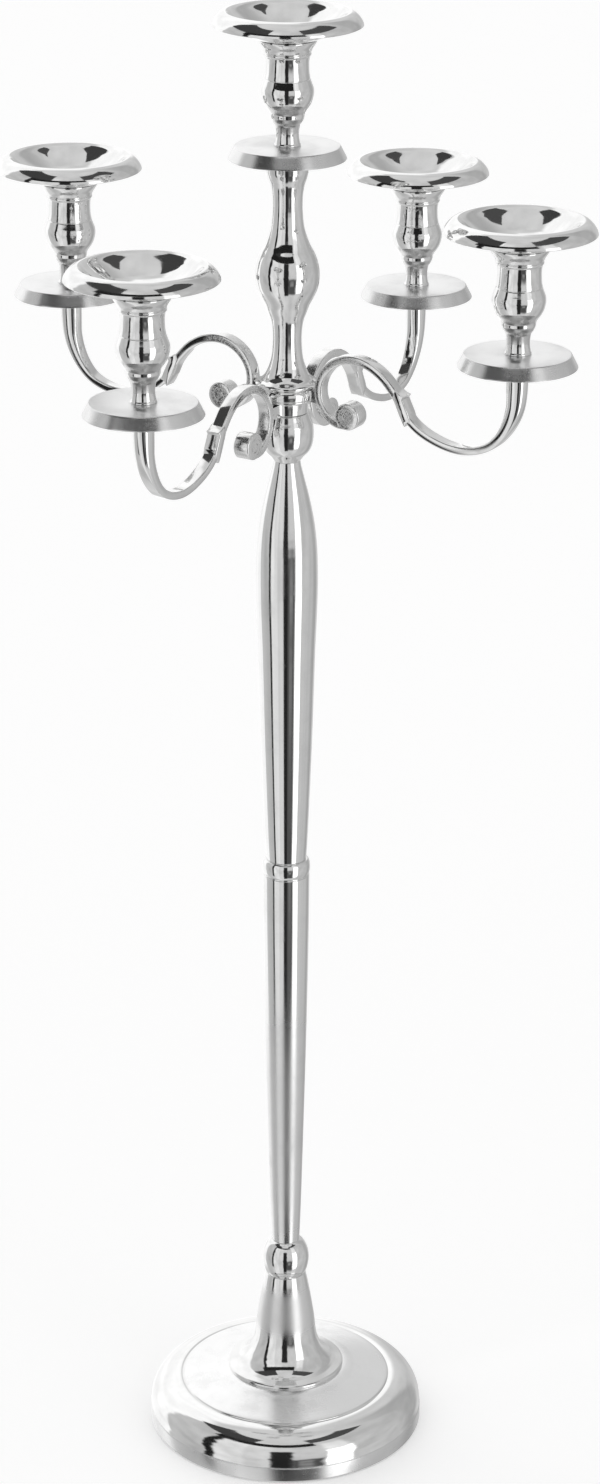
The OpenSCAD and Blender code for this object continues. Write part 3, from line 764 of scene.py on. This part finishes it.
# The studio by direction: degrees round from the camera's side, right positive, and above the level
studio = {
    "turn": 31.19,
    "wall": 0.66,
    "unevenness": 0.30,
    "unevenScale": 2.2,
    "waver": 9.0,        # degrees that the panels' edges stray
    "waverScale": 4.5,
    "seenByCamera": 0.96,
    "panels": [
        {"round": (-188, -112), "up": (-36, 58), "light": 1.10, "soft": 3.5},      # white wall behind left
        {"round": (-112, -70), "up": (-90, 58), "light": 0.56, "soft": 2.5},
        {"round": (-61, -34), "up": (-90, 58), "light": 0.86, "soft": 2.5},        # light wall by the camera
        {"round": (-34, -12), "up": (-90, 58), "light": 0.72, "soft": 4.0},
        {"round": (6, 34), "up": (-90, 58), "light": 0.62, "soft": 2.0},
        {"round": (58, 112), "up": (-90, 58), "light": 0.56, "soft": 2.5},         # grey wall on the right
        {"round": (112, 146), "up": (-90, 58), "light": 0.44, "soft": 9.0},
        {"round": (146, 172), "up": (-90, 58), "light": 0.62, "soft": 7.0},
        {"round": (35, 58), "up": (-40, 20), "light": 1.7, "soft": 1.8},           # softbox
        {"round": (36, 56), "up": (20, 46), "light": 0.9, "soft": 3.0},            # dimmer cloth over it
        {"round": (-70, -61), "up": (-34, 56), "light": 0.012, "soft": 1.4},       # stand
        {"round": (-12, 6), "up": (-50, 27), "light": 0.02, "soft": 1.8},          # dark side by the camera
        {"round": (4, 32), "up": (-44, -9), "light": 0.08, "soft": 3.4},
        {"round": (10, 24), "up": (-24, -15), "light": 0.26, "soft": 3.0},         # a dull gleam in it
    ],
}
# dark flags above the camera: degrees round, and heights
darkCards = [
    {"round": (-74, 30), "low": 1.82, "high": 2.66, "light": 0.014},
    {"round": (-114, -34), "low": 2.45, "high": 5.0, "light": 0.05},
    {"round": (28, 106), "low": 2.75, "high": 5.0, "light": 0.07},
]
cardRadius = 1.9
cardStep = 3      # degrees to a facet


def makeStudio():
    world = bpy.data.worlds.new("studio")
    bpy.context.scene.world = world
    world.use_nodes = True
    shade = Shade(world.node_tree)
    way = shade.node("ShaderNodeTexCoord", out="Generated")
    apart = shade.node("ShaderNodeSeparateXYZ", None, {0: way})
    x, y, z = (Wire(shade, apart.socket.node.outputs[i]) for i in range(3))
    a = math.radians(studio["turn"])
    right = x * math.cos(a) + y * math.sin(a)
    front = x * math.sin(a) - y * math.cos(a)
    stray = shade.noise(way, studio["waverScale"], 3.0, 0.55) - 0.5
    turnRound = right.maths("ARCTAN2", right, front) * (180 / math.pi) + stray * studio["waver"]
    up = z.maths("ARCSINE", z) * (180 / math.pi) - stray * studio["waver"]
    level = studio["wall"]
    for panel in studio["panels"]:
        low, high = panel["round"]
        middle, half = (low + high) / 2, (high - low) / 2
        off = (turnRound - middle + 540) % 360.0 - 180
        mask = abs(off).ramp(half - panel["soft"], half + panel["soft"], 1.0, 0.0)
        mask = mask * up.band(panel["up"][0], panel["up"][1], 1.5 * panel["soft"])
        level = level * (1 - mask) + mask * panel["light"]
    uneven = shade.noise(way, studio["unevenScale"], 2.0, 0.5) - 0.5
    level = level * (1 + uneven * (2 * studio["unevenness"]))
    seen = shade.node("ShaderNodeLightPath", out="Is Camera Ray")
    level = level * (1 - seen) + seen * studio["seenByCamera"]
    colour = shade.node("ShaderNodeCombineColor", None, {0: level, 1: level, 2: level})
    background = shade.node("ShaderNodeBackground", None, {"Color": colour, "Strength": 1.0})
    shade.node("ShaderNodeOutputWorld", None, {"Surface": background})


def makeCards():
    # dark curved flags that only reflections see
    for number, c in enumerate(darkCards):
        material = bpy.data.materials.new(f"darkCloth{number}")
        material.use_nodes = True
        shade = Shade(material.node_tree)
        surface = shade.node("ShaderNodeEmission", None, {"Color": (1, 1, 1, 1), "Strength": c["light"]})
        shade.node("ShaderNodeOutputMaterial", None, {"Surface": surface})
        verts, faces = [], []
        low, high = c["round"]
        steps = int((high - low) / cardStep)
        for i in range(steps + 1):
            a = math.radians(studio["turn"] + low + (high - low) * i / steps)
            x, y = cardRadius * math.sin(a), -cardRadius * math.cos(a)
            verts += [(x, y, c["low"]), (x, y, c["high"])]
            if i:
                faces.append((2 * i - 2, 2 * i, 2 * i + 1, 2 * i - 1))
        mesh = bpy.data.meshes.new(f"darkCard{number}")
        mesh.from_pydata(verts, [], faces)
        mesh.materials.append(material)
        card = bpy.data.objects.new(mesh.name, mesh)
        bpy.context.scene.collection.objects.link(card)
        card.visible_camera = False
        card.visible_diffuse = False
        card.visible_shadow = False


makeFloor()
makeStudio()
makeCards()
bpy.context.scene.view_settings.view_transform = "Standard"
print("studio lit")
